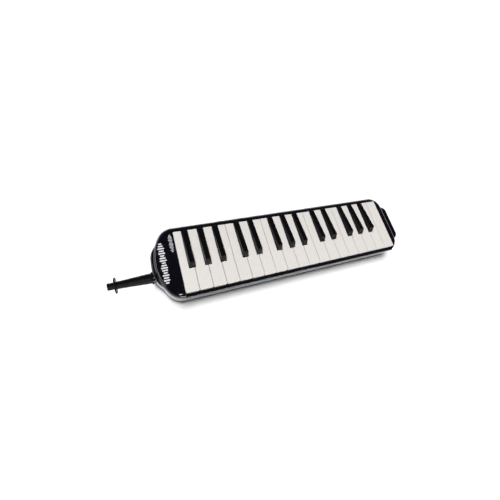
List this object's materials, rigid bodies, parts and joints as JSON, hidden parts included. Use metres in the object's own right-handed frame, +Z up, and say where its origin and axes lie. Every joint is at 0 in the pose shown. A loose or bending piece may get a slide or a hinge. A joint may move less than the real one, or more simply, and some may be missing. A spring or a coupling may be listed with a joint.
{
  "type": "melodica",
  "caption": "Keyboard wind instrument: a long black case with a row of piano keys and a short blowing mouthpiece at its left end.",
  "frame": {"origin": "centre of the bounding box in X and Y, on the plane the case lies on", "axes": "+X along the keyboard from low to high notes, +Y from the key fronts to the rear, +Z up"},
  "size_m": [0.486, 0.1034, 0.0464],
  "materials": {
    "gloss_black": "gloss",
    "satin_black": "satin",
    "ivory": "satin",
    "inner_plastic": "satin",
    "rubber": "matt",
    "brass": "satin",
    "steel": "satin",
    "felt": "matt",
    "webbing": "matt"
  },
  "bodies": {
    "case": {"upper_case": "gloss_black", "lower_case": "gloss_black", "chassis": "inner_plastic", "chamber_tray": "inner_plastic", "chamber_gasket": "rubber", "reed_plate_low": "brass", "reed_plate_high": "brass", "reeds_low": "brass", "reeds_high": "brass", "reed_rivets": "brass", "reed_unit_screws": "steel", "key_pivot_rod": "steel", "key_springs": "steel", "white_key_felt": "felt", "black_key_felt": "felt", "inlet_socket": "satin_black", "inlet_seal": "rubber", "case_screws": "steel", "chassis_screws": "steel", "hand_strap": "webbing", "strap_anchors": "steel", "drain_spring": "steel"},
    "key_01_lever": {"key_01": "ivory"},
    "key_02_lever": {"key_02": "satin_black"},
    "key_03_lever": {"key_03": "ivory"},
    "key_04_lever": {"key_04": "satin_black"},
    "key_05_lever": {"key_05": "ivory"},
    "key_06_lever": {"key_06": "satin_black"},
    "key_07_lever": {"key_07": "ivory"},
    "key_08_lever": {"key_08": "ivory"},
    "key_09_lever": {"key_09": "satin_black"},
    "key_10_lever": {"key_10": "ivory"},
    "key_11_lever": {"key_11": "satin_black"},
    "key_12_lever": {"key_12": "ivory"},
    "key_13_lever": {"key_13": "ivory"},
    "key_14_lever": {"key_14": "satin_black"},
    "key_15_lever": {"key_15": "ivory"},
    "key_16_lever": {"key_16": "satin_black"},
    "key_17_lever": {"key_17": "ivory"},
    "key_18_lever": {"key_18": "satin_black"},
    "key_19_lever": {"key_19": "ivory"},
    "key_20_lever": {"key_20": "ivory"},
    "key_21_lever": {"key_21": "satin_black"},
    "key_22_lever": {"key_22": "ivory"},
    "key_23_lever": {"key_23": "satin_black"},
    "key_24_lever": {"key_24": "ivory"},
    "key_25_lever": {"key_25": "ivory"},
    "key_26_lever": {"key_26": "satin_black"},
    "key_27_lever": {"key_27": "ivory"},
    "key_28_lever": {"key_28": "satin_black"},
    "key_29_lever": {"key_29": "ivory"},
    "key_30_lever": {"key_30": "satin_black"},
    "key_31_lever": {"key_31": "ivory"},
    "key_32_lever": {"key_32": "ivory"},
    "mouthpiece_tube": {"mouthpiece": "satin_black"},
    "drain_valve": {"drain_button": "satin_black", "drain_valve_seal": "rubber"}
  },
  "joints": [
    {"name": "key_01_press", "type": "hinge", "parent": "case", "child": "key_01_lever", "pos_m": [0, 0.022, 0.0315], "axis": [1, 0, 0], "range_deg": [0, 2.9], "stiffness_Nm_per_rad": 0.3, "springref_deg": -8.59, "deforming": ["key_springs"]},
    {"name": "key_02_press", "type": "hinge", "parent": "case", "child": "key_02_lever", "pos_m": [0, 0.022, 0.0315], "axis": [1, 0, 0], "range_deg": [0, 4.2], "stiffness_Nm_per_rad": 0.3, "springref_deg": -8.59},
    {"name": "key_03_press", "type": "hinge", "parent": "case", "child": "key_03_lever", "pos_m": [0, 0.022, 0.0315], "axis": [1, 0, 0], "range_deg": [0, 2.9], "stiffness_Nm_per_rad": 0.3, "springref_deg": -8.59},
    {"name": "key_04_press", "type": "hinge", "parent": "case", "child": "key_04_lever", "pos_m": [0, 0.022, 0.0315], "axis": [1, 0, 0], "range_deg": [0, 4.2], "stiffness_Nm_per_rad": 0.3, "springref_deg": -8.59},
    {"name": "key_05_press", "type": "hinge", "parent": "case", "child": "key_05_lever", "pos_m": [0, 0.022, 0.0315], "axis": [1, 0, 0], "range_deg": [0, 2.9], "stiffness_Nm_per_rad": 0.3, "springref_deg": -8.59},
    {"name": "key_06_press", "type": "hinge", "parent": "case", "child": "key_06_lever", "pos_m": [0, 0.022, 0.0315], "axis": [1, 0, 0], "range_deg": [0, 4.2], "stiffness_Nm_per_rad": 0.3, "springref_deg": -8.59},
    {"name": "key_07_press", "type": "hinge", "parent": "case", "child": "key_07_lever", "pos_m": [0, 0.022, 0.0315], "axis": [1, 0, 0], "range_deg": [0, 2.9], "stiffness_Nm_per_rad": 0.3, "springref_deg": -8.59},
    {"name": "key_08_press", "type": "hinge", "parent": "case", "child": "key_08_lever", "pos_m": [0, 0.022, 0.0315], "axis": [1, 0, 0], "range_deg": [0, 2.9], "stiffness_Nm_per_rad": 0.3, "springref_deg": -8.59},
    {"name": "key_09_press", "type": "hinge", "parent": "case", "child": "key_09_lever", "pos_m": [0, 0.022, 0.0315], "axis": [1, 0, 0], "range_deg": [0, 4.2], "stiffness_Nm_per_rad": 0.3, "springref_deg": -8.59},
    {"name": "key_10_press", "type": "hinge", "parent": "case", "child": "key_10_lever", "pos_m": [0, 0.022, 0.0315], "axis": [1, 0, 0], "range_deg": [0, 2.9], "stiffness_Nm_per_rad": 0.3, "springref_deg": -8.59},
    {"name": "key_11_press", "type": "hinge", "parent": "case", "child": "key_11_lever", "pos_m": [0, 0.022, 0.0315], "axis": [1, 0, 0], "range_deg": [0, 4.2], "stiffness_Nm_per_rad": 0.3, "springref_deg": -8.59},
    {"name": "key_12_press", "type": "hinge", "parent": "case", "child": "key_12_lever", "pos_m": [0, 0.022, 0.0315], "axis": [1, 0, 0], "range_deg": [0, 2.9], "stiffness_Nm_per_rad": 0.3, "springref_deg": -8.59},
    {"name": "key_13_press", "type": "hinge", "parent": "case", "child": "key_13_lever", "pos_m": [0, 0.022, 0.0315], "axis": [1, 0, 0], "range_deg": [0, 2.9], "stiffness_Nm_per_rad": 0.3, "springref_deg": -8.59},
    {"name": "key_14_press", "type": "hinge", "parent": "case", "child": "key_14_lever", "pos_m": [0, 0.022, 0.0315], "axis": [1, 0, 0], "range_deg": [0, 4.2], "stiffness_Nm_per_rad": 0.3, "springref_deg": -8.59},
    {"name": "key_15_press", "type": "hinge", "parent": "case", "child": "key_15_lever", "pos_m": [0, 0.022, 0.0315], "axis": [1, 0, 0], "range_deg": [0, 2.9], "stiffness_Nm_per_rad": 0.3, "springref_deg": -8.59},
    {"name": "key_16_press", "type": "hinge", "parent": "case", "child": "key_16_lever", "pos_m": [0, 0.022, 0.0315], "axis": [1, 0, 0], "range_deg": [0, 4.2], "stiffness_Nm_per_rad": 0.3, "springref_deg": -8.59},
    {"name": "key_17_press", "type": "hinge", "parent": "case", "child": "key_17_lever", "pos_m": [0, 0.022, 0.0315], "axis": [1, 0, 0], "range_deg": [0, 2.9], "stiffness_Nm_per_rad": 0.3, "springref_deg": -8.59},
    {"name": "key_18_press", "type": "hinge", "parent": "case", "child": "key_18_lever", "pos_m": [0, 0.022, 0.0315], "axis": [1, 0, 0], "range_deg": [0, 4.2], "stiffness_Nm_per_rad": 0.3, "springref_deg": -8.59},
    {"name": "key_19_press", "type": "hinge", "parent": "case", "child": "key_19_lever", "pos_m": [0, 0.022, 0.0315], "axis": [1, 0, 0], "range_deg": [0, 2.9], "stiffness_Nm_per_rad": 0.3, "springref_deg": -8.59},
    {"name": "key_20_press", "type": "hinge", "parent": "case", "child": "key_20_lever", "pos_m": [0, 0.022, 0.0315], "axis": [1, 0, 0], "range_deg": [0, 2.9], "stiffness_Nm_per_rad": 0.3, "springref_deg": -8.59},
    {"name": "key_21_press", "type": "hinge", "parent": "case", "child": "key_21_lever", "pos_m": [0, 0.022, 0.0315], "axis": [1, 0, 0], "range_deg": [0, 4.2], "stiffness_Nm_per_rad": 0.3, "springref_deg": -8.59},
    {"name": "key_22_press", "type": "hinge", "parent": "case", "child": "key_22_lever", "pos_m": [0, 0.022, 0.0315], "axis": [1, 0, 0], "range_deg": [0, 2.9], "stiffness_Nm_per_rad": 0.3, "springref_deg": -8.59},
    {"name": "key_23_press", "type": "hinge", "parent": "case", "child": "key_23_lever", "pos_m": [0, 0.022, 0.0315], "axis": [1, 0, 0], "range_deg": [0, 4.2], "stiffness_Nm_per_rad": 0.3, "springref_deg": -8.59},
    {"name": "key_24_press", "type": "hinge", "parent": "case", "child": "key_24_lever", "pos_m": [0, 0.022, 0.0315], "axis": [1, 0, 0], "range_deg": [0, 2.9], "stiffness_Nm_per_rad": 0.3, "springref_deg": -8.59},
    {"name": "key_25_press", "type": "hinge", "parent": "case", "child": "key_25_lever", "pos_m": [0, 0.022, 0.0315], "axis": [1, 0, 0], "range_deg": [0, 2.9], "stiffness_Nm_per_rad": 0.3, "springref_deg": -8.59},
    {"name": "key_26_press", "type": "hinge", "parent": "case", "child": "key_26_lever", "pos_m": [0, 0.022, 0.0315], "axis": [1, 0, 0], "range_deg": [0, 4.2], "stiffness_Nm_per_rad": 0.3, "springref_deg": -8.59},
    {"name": "key_27_press", "type": "hinge", "parent": "case", "child": "key_27_lever", "pos_m": [0, 0.022, 0.0315], "axis": [1, 0, 0], "range_deg": [0, 2.9], "stiffness_Nm_per_rad": 0.3, "springref_deg": -8.59},
    {"name": "key_28_press", "type": "hinge", "parent": "case", "child": "key_28_lever", "pos_m": [0, 0.022, 0.0315], "axis": [1, 0, 0], "range_deg": [0, 4.2], "stiffness_Nm_per_rad": 0.3, "springref_deg": -8.59},
    {"name": "key_29_press", "type": "hinge", "parent": "case", "child": "key_29_lever", "pos_m": [0, 0.022, 0.0315], "axis": [1, 0, 0], "range_deg": [0, 2.9], "stiffness_Nm_per_rad": 0.3, "springref_deg": -8.59},
    {"name": "key_30_press", "type": "hinge", "parent": "case", "child": "key_30_lever", "pos_m": [0, 0.022, 0.0315], "axis": [1, 0, 0], "range_deg": [0, 4.2], "stiffness_Nm_per_rad": 0.3, "springref_deg": -8.59},
    {"name": "key_31_press", "type": "hinge", "parent": "case", "child": "key_31_lever", "pos_m": [0, 0.022, 0.0315], "axis": [1, 0, 0], "range_deg": [0, 2.9], "stiffness_Nm_per_rad": 0.3, "springref_deg": -8.59},
    {"name": "key_32_press", "type": "hinge", "parent": "case", "child": "key_32_lever", "pos_m": [0, 0.022, 0.0315], "axis": [1, 0, 0], "range_deg": [0, 2.9], "stiffness_Nm_per_rad": 0.3, "springref_deg": -8.59},
    {"name": "drain_press", "type": "slide", "parent": "case", "child": "drain_valve", "axis": [-1, 0, 0], "range_m": [0, 0.003], "stiffness_N_per_m": 300, "springref_m": -0.004, "deforming": ["drain_spring"]},
    {"name": "mouthpiece_pull", "type": "slide", "parent": "case", "child": "mouthpiece_tube", "axis": [-1, 0, 0], "range_m": [0, 0.02]}
  ]
}
